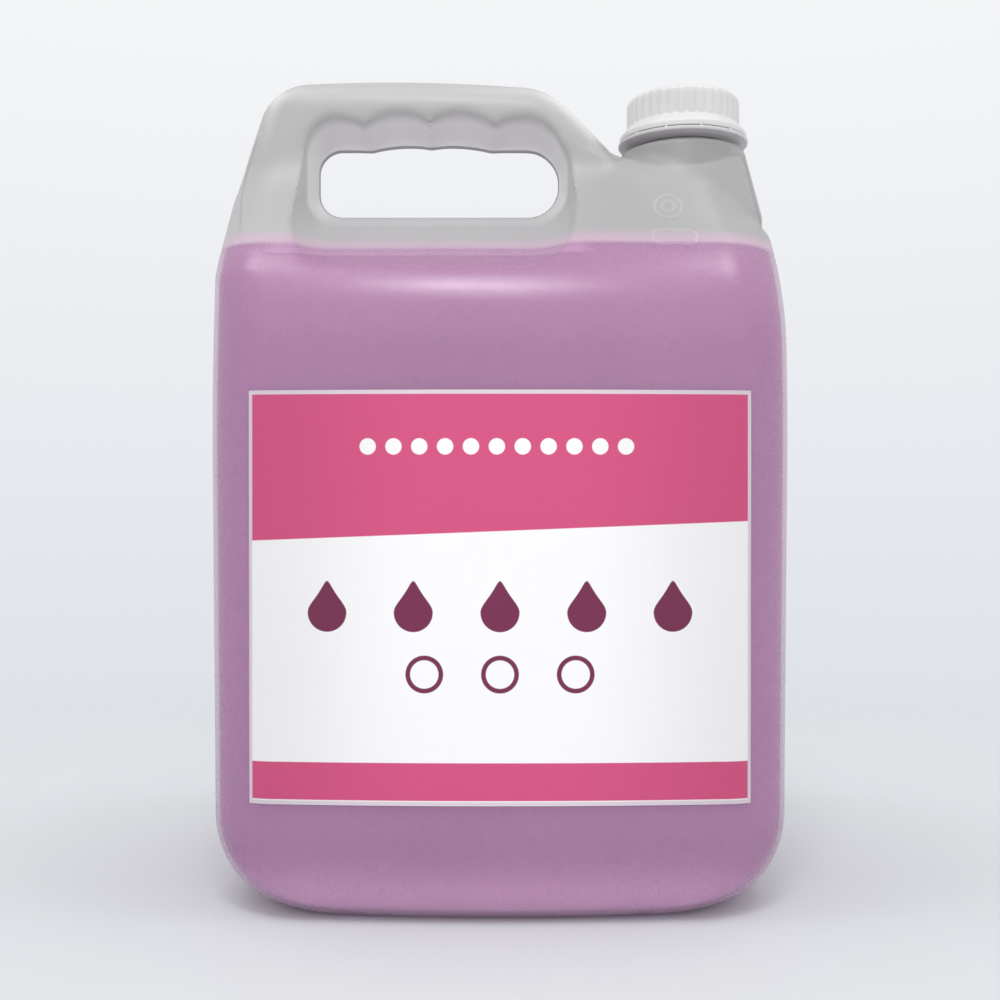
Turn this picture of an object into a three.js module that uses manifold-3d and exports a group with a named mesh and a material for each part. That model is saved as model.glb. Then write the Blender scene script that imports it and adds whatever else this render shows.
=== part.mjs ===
// Hand soap refill pack: a blow-moulded five litre can with a moulded-through handle,
// a ribbed screw cap with a tamper ring, the soap inside it and a label on the front.
// Millimetres, +Z up. The front face looks along -Y and the base stands on z = 0.
import * as THREE from 'three';
import { mergeVertices } from 'three/addons/utils/BufferGeometryUtils.js';
import Module from 'manifold-3d';

const wasm = await Module();
wasm.setup();

// Can body
const bodyWidth = 194.4;
const bodyDepth = 132;
const overallHeight = 289;
const wall = 1.2;
const faceBow = 2.5;            // swell of the front and back faces at their middle
const cornerRadius = 26;        // upright corners, seen from above
const sideDraft = 1.3;          // how much each side draws in down to the base
const draftHeight = 150;        // height up to which it does so
const sideBaseRadius = 30;      // lower corners, seen from the front
const faceBaseRadius = 11;      // lower edge of the front and back faces
const shoulderLean = 47;        // degrees between the leaning shoulder and the base
const shoulderBlend = 16;       // softness of the crease below the shoulder
const shoulderAboveHole = 0.5;  // top of the shoulder above the middle of the finger hole
const rearShoulderRadius = 18;  // edge between the shoulder and the rear side wall
const neckShoulderRadius = 30;  // the same edge on the neck's side

// Handle
const gripDepth = 35;
const gripThickness = 24.6;     // grip top to the top of the finger hole
const gripTopRadius = 15;
const gripCrown = 3.4;          // drop of the grip's top line towards the neck
const gripPeak = 57;            // rear side wall to the highest point of the grip
const gripCrownReach = 62;      // highest point to where the drop is complete
const gripCornerRadius = 12;    // rear top corner, seen from the front
const gripRearLean = 12.8;      // how far the rear edge leans in up to the grip's top
const gripRearRise = 42;        // height over which it does so
const gripRearBlend = 3;        // softness of the bend where that lean starts
const gripNeckRadius = 7.5;     // top corner on the neck's side, seen from the front
const holeHeight = 24.4;
const holeCrown = 1.6;          // rise of the hole's upper edge at its middle
const rearPostWidth = 30.2;     // rear side wall to the finger hole
const neckPostWidth = 46;       // finger hole to the neck's axis
const holeRearRadius = 8.5;
const holeNeckRadius = 11.5;    // less than half the hole's height
const pinchThickness = 3;       // welded wall all round the finger hole
const topFlare = 3.2;           // depth gained for each millimetre away from the hole
const baseFlare = 2.1;
const sideFlare = 5;
const sideFlareLimit = 4.5;     // the recess grows no wider than this at either end
const fingerGrooves = 4;
const fingerPitch = 23.5;
const fingerGrooveShare = 0.8;  // extra rise of the flare in the middle of a groove
const gripNeckRun = 22.8;       // the grip's sloping end: its run from the notch
const notchToCone = 3.6;        // notch between handle and neck, to the top of the cone
const notchBelowTop = 26.6;

// Neck
const neckToSide = 29.3;        // neck's axis to the side wall
const neckRadius = 16.9;
const neckWall = 1.9;
const neckRise = 16.8;          // cone top to the pouring rim
const neckLead = 0.6;           // chamfer of the rim
const coneFlange = 5.5;         // step from the neck out to the top of the cone
const coneTaper = 0.26;         // radius gained for each millimetre down the cone
const coneTopBelow = 25.1;      // top of the cone below the grip's top
const coneEdge = 1.4;
const coneInsideSide = 0.4;     // the cone stays this far within the side wall
const beadDepth = 1.6;
const beadRise = 3.1;           // cone top to the underside of the bead
const beadHeight = 1.6;

// Screw thread of neck and cap
const threadPitch = 4;
const threadTurns = 1.25;
const threadRootHalf = 1.1;
const threadCrestHalf = 0.6;
const threadBury = 0.4;         // how deep the thread's root stands in the wall
const threadDepth = 1.4;
const threadPlay = 0.6;         // neck thread to the cap's inside
const neckThreadRise = 8;       // cone top to the middle of the neck thread's start
const capThreadRise = 8.6;      // cone top to the middle of the cap thread's start

// Cap, tamper ring and liner
const capWall = 1.3;            // between the ribs
const capTopThickness = 1.6;
const capTopRound = 3;
const ribCount = 36;
const ribHeight = 0.45;
const ribRise = 0.4;            // height over which the ribs grow out of the collar
const collarFlare = 3.1;        // how far the collar stands out from the cap's wall
const collarHeight = 5.4;
const collarLip = 1.8;
const collarRoof = 2;           // plastic over the highest part of the collar's inside
const ringStandsOut = 0.5;      // tamper ring beyond the collar
const ringHeight = 2.3;
const ringWall = 1.3;
const ringEdge = 0.5;
const ringWebPlay = 0.6;        // neck to the inner edge of the ring's web, under the bead
const ringWebHeight = 1;
const ringWebLift = 0.2;
const ringAboveCone = 1.5;
const slitHeight = 0.4;
const linerThickness = 1.1;

// Soap and label
const fillBelowTop = 66.4;      // level of the soap below the grip's top
const labelWidth = 161;         // measured round the front
const labelAboveBase = 38.5;
const labelBelowTop = 118.5;    // label's upper edge below the grip's top
const labelThickness = 0.3;

const clearance = 0.3;          // between pieces that touch

// How finely curves are divided
const cornerSteps = 6;
const faceSteps = 8;
const roundSteps = 48;
const baseSteps = 7;
const gripSteps = 5;
const labelSteps = 60;
const footOutlines = [-9, -4, 0, 4, 9];         // heights round the foot of the shoulder
const topOutlines = [-28, -18, -8, -3, 2, 7];   // heights round the top of the shoulder
const leastFlat = 0.4;          // straight length that is left beside a level outline's corner
const weldDistance = 1e-4;
const past = 1;                 // a cut runs this far past what it cuts
const roundMiddle = 1 - Math.SQRT1_2;           // draw-in of a quarter round at its middle

// Sizes that follow from the ones above
const halfWidth = bodyWidth / 2;
const faceHalfDepth = bodyDepth / 2 - faceBow;
const sideFlatHalf = faceHalfDepth - cornerRadius;
const holeTop = overallHeight - gripThickness;
const holeBottom = holeTop - holeHeight;
const neckX = halfWidth - neckToSide;
const holeRear = -halfWidth + rearPostWidth;
const holeNeck = neckX - neckPostWidth;
const notchZ = overallHeight - notchBelowTop;
const shoulderSlope = 1 / Math.tan(THREE.MathUtils.degToRad(shoulderLean));
const shoulderTop = (holeBottom + holeTop) / 2 + shoulderAboveHole;
const coneTopRadius = neckRadius + coneFlange;
const coneMaxRadius = neckToSide - coneInsideSide;
const coneTop = overallHeight - coneTopBelow;
const notchX = neckX - coneTopRadius - notchToCone;
const rimZ = coneTop + neckRise;
const neckCrestRadius = neckRadius + threadDepth;
const capInnerRadius = neckCrestRadius + threadPlay;
const capCrestRadius = capInnerRadius - threadDepth + threadPlay / 4;
const capRadius = capInnerRadius + capWall;
const collarRadius = capRadius + collarFlare;
const linerRadius = capCrestRadius - clearance;
const linerZ = rimZ + clearance;
const capTop = linerZ + linerThickness + clearance + capTopThickness;
const ringRadius = collarRadius + ringStandsOut;
const ringZ = coneTop + ringAboveCone;
const capFoot = ringZ + ringHeight + slitHeight;
const soapLevel = overallHeight - fillBelowTop;
const labelTop = overallHeight - labelBelowTop;
const labelHeight = labelTop - labelAboveBase;

function smoothMin(a, b, softness) {
  const share = Math.min(1, Math.max(0, 0.5 + 0.5 * (b - a) / softness));
  return b + (a - b) * share - softness * share * (1 - share);
}

function smoothMax(a, b, softness) {
  return -smoothMin(-a, -b, softness);
}

// How far a quarter round of this radius draws in at a height above its lowest point
function roundIn(height, radius) {
  if (height >= radius) return 0;
  const rest = radius - Math.max(height, 0);
  return radius - Math.sqrt(radius * radius - rest * rest);
}

// Half depth of the can without its base and top rounding, drawn in by inset
function shoulderHalfDepth(z, inset) {
  const full = faceHalfDepth - inset;
  const grip = gripDepth / 2 - inset;
  const slant = Math.hypot(1, shoulderSlope);
  const lean = gripDepth / 2 + (shoulderTop - z) * shoulderSlope - inset * slant;
  return smoothMax(smoothMin(full, lean, shoulderBlend), grip, shoulderBlend / 2);
}

function draft(z) {
  return sideDraft * Math.max(0, 1 - z / draftHeight);
}

function rearEdge(z, inset) {
  const start = overallHeight - gripRearRise;
  const lean = halfWidth - gripRearLean * (z - start) / gripRearRise;
  const flat = smoothMin(halfWidth - draft(z), lean, gripRearBlend) - inset;
  const low = roundIn(z - inset, sideBaseRadius - inset);
  const high = roundIn(overallHeight - inset - z, gripCornerRadius - inset);
  return -(flat - low - high);
}

function neckEdge(z, inset) {
  const shoulderRun = (halfWidth - notchX) / (notchZ - (shoulderTop - gripDepth / 2));
  const underCone = notchX + (notchZ - z) * shoulderRun;
  const slope = notchX - (z - notchZ) * gripNeckRun / (overallHeight - notchZ);
  const flat = Math.min(halfWidth - draft(z), Math.max(underCone, slope)) - inset;
  const low = roundIn(z - inset, sideBaseRadius - inset);
  const high = roundIn(overallHeight - inset - z, gripNeckRadius);
  return flat - low - high;
}

// One level outline of the can at height z, the same number of points at every height
function canSection(z, inset) {
  const rear = rearEdge(z, inset);
  const neck = neckEdge(z, inset);
  const middle = (rear + neck) / 2;
  const half = (neck - rear) / 2;
  const upright = shoulderHalfDepth(z, inset);
  const full = faceHalfDepth - inset;
  const lowIn = roundIn(z - inset, faceBaseRadius - inset);
  const topIn = roundIn(overallHeight - inset - z, gripTopRadius - inset);
  const depth = upright - lowIn - topIn;
  const swell = faceBow * Math.max(0, (upright - gripDepth / 2) / (full - gripDepth / 2));
  const cornerOf = (edge) => {
    const wanted = Math.min(cornerRadius, Math.max(edge, upright + inset - sideFlatHalf)) - inset;
    return Math.min(wanted, depth - leastFlat, half - leastFlat);
  };
  const neckSide = quarterSection(half, depth, swell, cornerOf(neckShoulderRadius));
  const rearSide = quarterSection(half, depth, swell, cornerOf(rearShoulderRadius));
  const mirrored = (points, sx, sy) => points.map(([x, y]) => [sx * x, sy * y]);
  const flat = [
    ...neckSide, [0, depth + swell], ...mirrored(rearSide, -1, 1).reverse(),
    ...mirrored(rearSide, -1, -1).slice(1), [0, -depth - swell],
    ...mirrored(neckSide, 1, -1).slice(1).reverse(),
  ];
  const crownShare = Math.max(0, 1 - (overallHeight - z) / gripThickness);
  const peak = gripPeak - halfWidth;
  return flat.map(([x, y]) => {
    const away = Math.min(1, Math.abs(middle + x - peak) / gripCrownReach);
    return [middle + x, y, z - gripCrown * crownShare * away * away];
  });
}

// One quarter of a level outline, from the middle of the side to near the face's middle
function quarterSection(half, depth, swell, radius) {
  const flatHalf = half - radius;
  const points = [[half, 0]];
  for (let i = 0; i <= cornerSteps; i++) {
    const turn = (i / cornerSteps) * Math.PI / 2;
    points.push([flatHalf + radius * Math.cos(turn), depth - radius + radius * Math.sin(turn)]);
  }
  for (let i = 1; i < faceSteps / 2; i++) {
    const across = 1 - i / (faceSteps / 2);
    points.push([flatHalf * across, depth + swell * (1 - across * across)]);
  }
  return points;
}

// A closed skin over rings of points, with a middle point closing each end
function loft(rings) {
  const count = rings[0].length;
  const points = rings.flat();
  const faces = [];
  for (let r = 0; r + 1 < rings.length; r++) {
    for (let i = 0; i < count; i++) {
      const a = r * count + i;
      const b = r * count + (i + 1) % count;
      faces.push(a, b, b + count, a, b + count, a + count);
    }
  }
  closeEnd(points, faces, rings[0], 0, false);
  closeEnd(points, faces, rings[rings.length - 1], (rings.length - 1) * count, true);
  return geometryOf(points, faces);
}

function closeEnd(points, faces, ring, first, outward) {
  const middle = [0, 1, 2].map((k) => ring.reduce((sum, p) => sum + p[k], 0) / ring.length);
  const centre = points.push(middle) - 1;
  for (let i = 0; i < ring.length; i++) {
    const a = first + i;
    const b = first + (i + 1) % ring.length;
    if (outward) faces.push(a, b, centre);
    else faces.push(b, a, centre);
  }
}

function geometryOf(points, faces) {
  const geometry = new THREE.BufferGeometry();
  geometry.setAttribute('position', new THREE.Float32BufferAttribute(points.flat(), 3));
  geometry.setIndex(faces);
  return geometry;
}

function signedVolume(positions, index) {
  let sum = 0;
  const corner = (i) => new THREE.Vector3().fromArray(positions, 3 * i);
  for (let t = 0; t < index.length; t += 3) {
    const b = corner(index[t + 1]);
    sum += corner(index[t]).dot(b.cross(corner(index[t + 2])));
  }
  return sum / 6;
}

// A closed geometry as a solid that can be joined and cut
function solid(geometry) {
  const bare = geometry.clone();
  bare.deleteAttribute('normal');
  bare.deleteAttribute('uv');
  const merged = mergeVertices(bare, weldDistance);
  const positions = new Float32Array(merged.attributes.position.array);
  const index = new Uint32Array(merged.index.array);
  if (signedVolume(positions, index) < 0) {
    for (let t = 0; t < index.length; t += 3) [index[t], index[t + 1]] = [index[t + 1], index[t]];
  }
  return new wasm.Manifold(new wasm.Mesh({ numProp: 3, vertProperties: positions, triVerts: index }));
}

function geometryFrom(shape) {
  const mesh = shape.getMesh();
  const geometry = new THREE.BufferGeometry();
  geometry.setAttribute('position', new THREE.BufferAttribute(mesh.vertProperties, 3));
  geometry.setIndex(new THREE.BufferAttribute(mesh.triVerts, 1));
  return geometry;
}

// A turned solid from [radius, height] points that start and end on the axis
function turned(profile, steps = roundSteps) {
  const points = profile.map(([r, z]) => new THREE.Vector2(r, z));
  return new THREE.LatheGeometry(points, steps).rotateX(Math.PI / 2);
}

// Heights of the level outlines: close together where the skin curves
function canHeights(inset) {
  const heights = [];
  for (let i = 0; i <= baseSteps; i++) {
    const turn = (i / baseSteps) * Math.PI / 2;
    heights.push(inset + (sideBaseRadius - inset) * (1 - Math.cos(turn)));
  }
  const shoulderFoot = shoulderTop - (faceHalfDepth - gripDepth / 2) / shoulderSlope;
  heights.push(...footOutlines.map((offset) => shoulderFoot + offset));
  heights.push(...topOutlines.map((offset) => shoulderTop + offset), notchZ);
  for (let i = 0; i <= gripSteps; i++) {
    const turn = (i / gripSteps) * Math.PI / 2;
    heights.push(overallHeight - gripTopRadius + (gripTopRadius - inset) * Math.sin(turn));
  }
  return heights.sort((a, b) => a - b);
}

function canSkin(inset) {
  return solid(loft(canHeights(inset).map((z) => canSection(z, inset))));
}

// Outline of the finger hole at a distance y from the middle plane, grown by grow
function holeOutline(y, grow) {
  const depth = Math.max(0, Math.abs(y) - pinchThickness / 2);
  const reach = (flare) => {
    const grown = (depth + grow * Math.hypot(1, flare)) / flare;
    return grow > 0 ? Math.max(grown, pinchThickness / 2) : grown;
  };
  const side = Math.min(reach(sideFlare), sideFlareLimit + grow);
  const up = reach(topFlare);
  const down = reach(baseFlare);
  const left = holeRear - side;
  const right = holeNeck + side;
  const low = holeBottom - down;
  const high = holeTop + up;
  const points = [];
  const arc = (cx, cz, rx, rz, from) => {
    for (let i = 0; i <= cornerSteps; i++) {
      const turn = THREE.MathUtils.degToRad(from + 90 * i / cornerSteps);
      points.push([cx + rx * Math.cos(turn), y, cz + rz * Math.sin(turn)]);
    }
  };
  const rear = holeRearRadius + side;
  const neck = holeNeckRadius + side;
  arc(right - neck, low + neck, neck, neck, -90);
  arc(right - neck, high - neck, neck, neck, 0);
  const topStart = right - neck;
  const topEnd = left + rear;
  const steps = fingerGrooves * cornerSteps;
  for (let i = 1; i < steps; i++) {
    const x = topStart + (topEnd - topStart) * i / steps;
    const across = 2 * (x - topEnd) / (topStart - topEnd) - 1;
    const crown = holeCrown * (1 - across * across);
    points.push([x, y, high + crown + up * fingerGrooveShare * fingerGroove(x)]);
  }
  arc(left + rear, high - rear, rear, rear, 90);
  arc(left + rear, low + rear, rear, rear, 180);
  return points;
}

// 0 on the cusp between two finger grooves, 1 in the middle of a groove
function fingerGroove(x) {
  const middle = (holeRear + holeNeck) / 2;
  const place = Math.abs(x - middle) / fingerPitch;
  if (place >= fingerGrooves / 2) return 0;
  return Math.sqrt(Math.abs(Math.sin(place * Math.PI)));
}

function fingerHole(grow) {
  const far = bodyDepth / 2 + past;
  const near = pinchThickness / 2;
  const depths = [-far, -gripDepth, -gripDepth / 2, -gripDepth / 4, -near];
  const layers = [...depths, ...depths.map((y) => -y).reverse()];
  return solid(loft(layers.map((y) => holeOutline(y, grow))));
}

function coneRadius(z) {
  return Math.min(coneTopRadius + (coneTop - z) * coneTaper, coneMaxRadius);
}

function neckCone(inset) {
  const foot = shoulderTop - gripDepth;
  const foldZ = coneTop - (coneMaxRadius - coneTopRadius) / coneTaper;
  const top = coneTop - inset;
  const edgeZ = top - coneEdge;
  const profile = [
    [0, foot], [coneMaxRadius - inset, foot], [coneMaxRadius - inset, foldZ],
    [coneRadius(edgeZ) - inset, edgeZ],
    [coneTopRadius - coneEdge * roundMiddle - inset, top - coneEdge * roundMiddle],
    [coneTopRadius - coneEdge - inset, top], [0, top],
  ];
  return solid(turned(profile)).translate([neckX, 0, 0]);
}

// A screw thread from its start's height above the cone. Drop is how far it runs below the
// neck's own thread, which is half a pitch for the cap's.
function thread(root, crest, rise, drop) {
  const stepsPerTurn = 30;
  const runOut = 3;
  const bury = threadBury * Math.sign(root - crest);
  const steps = Math.round(threadTurns * stepsPerTurn);
  const startTurn = 2 * Math.PI * (rise - neckThreadRise + drop) / threadPitch;
  const rings = [];
  for (let i = 0; i <= steps; i++) {
    const turn = startTurn + 2 * Math.PI * i / stepsPerTurn;
    const z = coneTop + rise + threadPitch * i / stepsPerTurn;
    const share = Math.min(1, (Math.min(i, steps - i) + 0.5) / runOut);
    const tip = root + (crest - root) * share;
    const place = (r, dz) => [r * Math.cos(turn), r * Math.sin(turn), z + dz];
    rings.push([
      place(root + bury, -threadRootHalf),
      place(tip, -threadCrestHalf),
      place(tip, threadCrestHalf),
      place(root + bury, threadRootHalf),
    ]);
  }
  return solid(loft(rings));
}

function neckFinish() {
  const beadFoot = coneTop + beadRise;
  const beadRadius = neckRadius + beadDepth;
  const profile = [
    [0, coneTop - coneEdge - wall], [neckRadius, coneTop - coneEdge - wall], [neckRadius, beadFoot],
    [beadRadius, beadFoot], [beadRadius, beadFoot + beadHeight / 3],
    [neckRadius, beadFoot + beadHeight], [neckRadius, rimZ - neckLead],
    [neckRadius - neckLead, rimZ], [0, rimZ],
  ];
  const ridge = thread(neckRadius, neckCrestRadius, neckThreadRise, 0);
  return solid(turned(profile)).add(ridge).translate([neckX, 0, 0]);
}

function neckBore() {
  const bore = neckRadius - neckWall;
  const foot = coneTop - wall - past;
  const top = rimZ + past;
  return solid(turned([[0, foot], [bore, foot], [bore, top], [0, top]])).translate([neckX, 0, 0]);
}

function makeBottle() {
  const outside = canSkin(0).subtract(fingerHole(0)).add(neckCone(0)).add(neckFinish());
  const inside = canSkin(wall).subtract(fingerHole(wall)).add(neckCone(wall)).add(neckBore());
  return geometryFrom(outside.subtract(inside));
}

function makeSoap() {
  const inset = wall + clearance;
  const air = solid(new THREE.BoxGeometry(2 * bodyWidth, 2 * bodyDepth, overallHeight));
  const above = air.translate([0, 0, soapLevel + overallHeight / 2]);
  return geometryFrom(canSkin(inset).subtract(fingerHole(inset)).subtract(above));
}

// Point on the label's path round the front: s along it from the middle, out from the skin
function frontPoint(s, out) {
  const flatHalf = halfWidth - cornerRadius;
  const side = Math.sign(s);
  const along = Math.abs(s);
  if (along <= flatHalf) {
    const share = along / flatHalf;
    return [s, -(faceHalfDepth + faceBow * (1 - share * share) + out)];
  }
  const turn = (along - flatHalf) / cornerRadius;
  const r = cornerRadius + out;
  return [side * (flatHalf + r * Math.sin(turn)), -(faceHalfDepth - cornerRadius + r * Math.cos(turn))];
}

function makeLabel() {
  const places = Array.from({ length: labelSteps + 1 }, (_, i) => labelWidth * (i / labelSteps - 0.5));
  const back = places.map((s) => frontPoint(s, clearance));
  const front = places.map((s) => frontPoint(s, clearance + labelThickness)).reverse();
  const shape = new THREE.Shape([...back, ...front].map(([x, y]) => new THREE.Vector2(x, y)));
  const sheet = new THREE.ExtrudeGeometry(shape, { depth: labelHeight, bevelEnabled: false });
  return geometryFrom(solid(sheet.translate(0, 0, labelTop - labelHeight)));
}

// Rings of points round the cap's axis from [radius, height, rib share] rows
function ribbedRings(rows) {
  const pointsPerRib = 4;
  const count = ribCount * pointsPerRib;
  return rows.map(([r, z, rib]) => Array.from({ length: count }, (_, i) => {
    const turn = 2 * Math.PI * (i + 0.5) / count;
    const raised = i % pointsPerRib < pointsPerRib / 2 ? ribHeight * rib : 0;
    return [(r + raised) * Math.cos(turn), (r + raised) * Math.sin(turn), z];
  }));
}

function makeCap() {
  const collarTop = capFoot + collarHeight;
  const outside = solid(loft(ribbedRings([
    [collarRadius, capFoot, 0],
    [collarRadius, capFoot + collarLip, 0],
    [capRadius + ribHeight, collarTop - ribRise, 0],
    [capRadius, collarTop, 1],
    [capRadius, capTop - capTopRound, 1],
    [capRadius - capTopRound * roundMiddle, capTop - capTopRound * roundMiddle, Math.SQRT1_2],
    [capRadius - capTopRound, capTop, 0],
  ])));
  const ceiling = capTop - capTopThickness;
  const collarInner = collarRadius - capWall;
  const inside = solid(turned([
    [0, capFoot - past], [collarInner, capFoot - past], [collarInner, capFoot + collarLip / 2],
    [capInnerRadius, collarTop - collarRoof], [capInnerRadius, ceiling], [0, ceiling],
  ]));
  const ridge = thread(capInnerRadius, capCrestRadius, capThreadRise, threadPitch / 2);
  return geometryFrom(outside.subtract(inside).add(ridge));
}

function makeTamperRing() {
  const top = ringZ + ringHeight;
  const inner = ringRadius - ringWall;
  const web = neckRadius + ringWebPlay;
  const webFoot = ringZ + ringWebLift;
  const outline = [
    [web, webFoot], [inner, ringZ], [ringRadius - ringEdge, ringZ], [ringRadius, ringZ + ringHeight / 3],
    [ringRadius - ringEdge / 2, top], [inner, top], [inner, webFoot + ringWebHeight],
    [web, webFoot + ringWebHeight], [web, webFoot],
  ];
  return geometryFrom(solid(turned(outline)));
}

function makeLiner() {
  return geometryFrom(solid(turned([
    [0, linerZ], [linerRadius, linerZ], [linerRadius, linerZ + linerThickness], [0, linerZ + linerThickness],
  ])));
}

function piece(name, geometry, look) {
  const mesh = new THREE.Mesh(geometry, new THREE.MeshStandardMaterial(look));
  mesh.name = name;
  return mesh;
}

const whitePlastic = { color: 0xe6e7e8, roughness: 0.38, metalness: 0 };

const closure = new THREE.Group();
closure.position.set(neckX, 0, 0);
closure.add(piece('cap', makeCap(), whitePlastic));
closure.add(piece('tamper_ring', makeTamperRing(), whitePlastic));
closure.add(piece('cap_liner', makeLiner(), { color: 0xf2f1ec, roughness: 0.8, metalness: 0 }));

const pack = new THREE.Group();
pack.add(piece('bottle', makeBottle(), { color: 0xc9c9cb, roughness: 0.42, metalness: 0 }));
pack.add(piece('liquid_soap', makeSoap(), { color: 0xb1879d, roughness: 0.3, metalness: 0 }));
pack.add(piece('front_label', makeLabel(), { color: 0xf4f2f4, roughness: 0.5, metalness: 0 }));
pack.add(closure);

export default pack;
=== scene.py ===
import math

import bmesh
import bpy
import numpy as np
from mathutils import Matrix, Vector


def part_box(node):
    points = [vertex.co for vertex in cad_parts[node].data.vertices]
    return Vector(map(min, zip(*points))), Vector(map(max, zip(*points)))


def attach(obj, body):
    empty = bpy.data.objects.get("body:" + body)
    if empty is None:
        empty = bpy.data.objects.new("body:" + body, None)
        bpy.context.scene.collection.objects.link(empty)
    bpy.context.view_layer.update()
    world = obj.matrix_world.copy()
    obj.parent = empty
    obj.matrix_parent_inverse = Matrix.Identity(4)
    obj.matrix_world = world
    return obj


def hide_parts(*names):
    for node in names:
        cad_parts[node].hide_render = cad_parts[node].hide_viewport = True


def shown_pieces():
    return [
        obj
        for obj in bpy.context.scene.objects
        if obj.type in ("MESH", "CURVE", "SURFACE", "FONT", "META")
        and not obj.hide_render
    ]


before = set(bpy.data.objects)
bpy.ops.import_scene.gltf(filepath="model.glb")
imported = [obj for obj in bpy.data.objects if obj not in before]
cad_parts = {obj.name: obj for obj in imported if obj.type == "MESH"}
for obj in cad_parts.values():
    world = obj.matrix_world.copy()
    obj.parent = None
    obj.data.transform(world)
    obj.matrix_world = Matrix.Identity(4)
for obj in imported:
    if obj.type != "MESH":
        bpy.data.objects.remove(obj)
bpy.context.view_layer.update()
mm = 0.001

# Sizes in millimetres. The can's outer size comes from the frame, the rest is set here.
canLow, canHigh = (np.array(corner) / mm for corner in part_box("bottle"))

can = {
    "width": canHigh[0] - canLow[0],
    "depth": canHigh[1] - canLow[1],
    "height": canHigh[2],
    "wall": 1.2,
    "bow": 2.5,  # swell of the front and back
    "corner": 26.0,  # upright corners, seen from above
    "draft": 1.3,  # sides draw in this much down to the base
    "draftHeight": 150.0,
    "topDraft": 0.7,  # and a little under the shoulder too
    "topDraftFrom": (165.0, 215.0),
    "sideBase": 30.0,  # lower corners, seen from the front
    "faceBase": 11.0,
    "uprightShare": 0.006,  # last bit of each rounded edge that stays upright
    "lean": 47.0,  # shoulder, in degrees from level
    "blend": 16.0,  # softness between the shoulder and the upright faces
    "topAboveHole": 0.5,  # the shoulder meets the grip this far above the hole's middle
    "rearShoulder": 18.0,  # least corner radius on the shoulder
    "neckShoulder": 30.0,
    "cornerPlay": 0.4,
    "stepHeight": 26.0,  # the faint line above the base
    "stepDepth": 0.4,
    "stepSoftness": 2.6,
    "pushUp": 2.2,  # hollow of the base
    "pushUpMargin": 15.0,
    "partingRise": 0.28,  # mould's parting line
    "partingHalf": 0.45,
}

grip = {
    "depth": 35.0,
    "thickness": 24.6,
    "topRound": 15.0,
    "crown": 3.4,
    "peak": 57.0,
    "crownReach": 62.0,
    "rearCorner": 12.0,
    "rearLean": 12.8,
    "rearRise": 42.0,
    "rearBlend": 3.0,
    "neckCorner": 7.5,
    "neckRun": 22.8,
    "notchToCone": 3.6,
    "notchBelowTop": 26.6,
}

hole = {
    "height": 24.4,
    "crown": 1.3,
    "crownHalf": 18.0,
    "rimPitch": 21.8,  # shallow finger grooves in the hole's own edge
    "rimGroove": 1.2,
    "rimPower": 0.7,
    "outerRimShare": 0.4,  # the outer grooves of that edge are this much as deep
    "rearPost": 30.2,
    "neckPost": 46.0,
    "rearRound": 8.5,
    "neckRound": 11.5,
    "pinch": 3.0,  # welded wall round the finger hole
    "rimSoftness": 1.3,
    "topFlare": 3.2,
    "baseFlare": 1.93,
    "sideFlare": 5.0,
    "sideLimit": 4.5,
    "sideSoftness": 1.0,
    "grooves": 4,
    "grooveShift": -2.8,  # from the middle of the hole
    "pitch": 23.5,
    "grooveShare": 0.8,
    "edgeSoftness": 1.3,  # where the recess meets the shoulder and the grip
}

neck = {
    "toSide": 29.3,
    "radius": 16.9,
    "wall": 1.9,
    "rise": 16.8,
    "flange": 5.5,
    "taper": 0.26,
    "topBelow": 25.1,
    "edge": 1.4,
    "insideSide": 0.4,
    "beadDepth": 1.6,
    "beadRise": 3.1,
    "beadHeight": 1.6,
    "threadPitch": 4.0,
    "threadTurns": 1.25,
    "threadDepth": 1.4,
    "threadRise": 8.0,
    "threadHalf": 1.1,
    "threadFlank": 0.5,
    "threadRunOut": 0.6,
    "blend": 17.0,  # softness between the cone and the shoulder
    "sideBlend": 3.5,  # the same in the middle plane
    "blendFrom": 6.0,  # the softness grows between these distances from that plane
    "blendTo": 26.0,
    "blendEnd": (72.0, 90.0),  # and it shrinks again towards the side
    "dive": 0.3,  # under this height the cone draws in, so it stays inside the body
    "diveFrom": 202.0,
    "sideRound": 18.0,  # where the shoulder under the cone meets the side
}

halfWidth = can["width"] / 2
halfDepth = can["depth"] / 2 - can["bow"]
sideFlat = halfDepth - can["corner"]
top = can["height"]
holeTop = top - grip["thickness"]
holeBottom = holeTop - hole["height"]
holeRear = -halfWidth + hole["rearPost"]
neckX = halfWidth - neck["toSide"]
holeNeck = neckX - hole["neckPost"]
grooveMiddle = (holeRear + holeNeck) / 2 + hole["grooveShift"]
shoulderSlope = 1 / math.tan(math.radians(can["lean"]))
shoulderTop = (holeBottom + holeTop) / 2 + can["topAboveHole"]
coneTop = top - neck["topBelow"]
coneTopRadius = neck["radius"] + neck["flange"]
coneMaxRadius = neck["toSide"] - neck["insideSide"]
notchX = neckX - coneTopRadius - grip["notchToCone"]
notchZ = top - grip["notchBelowTop"]
rimZ = coneTop + neck["rise"]
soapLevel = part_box("liquid_soap")[1].z / mm


# The can's skin as a function: below 0 inside the can, above 0 outside it
def softMin(a, b, softness):
    share = np.clip(0.5 + 0.5 * (b - a) / softness, 0, 1)
    return b + (a - b) * share - softness * share * (1 - share)


def softMax(a, b, softness):
    return -softMin(-a, -b, softness)


def smoothStep(low, high, value):
    share = np.clip((value - low) / (high - low), 0, 1)
    return share * share * (3 - 2 * share)


# How far a rounded edge draws in at a height. Its last bit is upright, so the slope stays finite.
def roundIn(height, radius):
    rest = radius - np.clip(height, can["uprightShare"] * radius, radius)
    return radius - np.sqrt(radius * radius - rest * rest)


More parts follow.
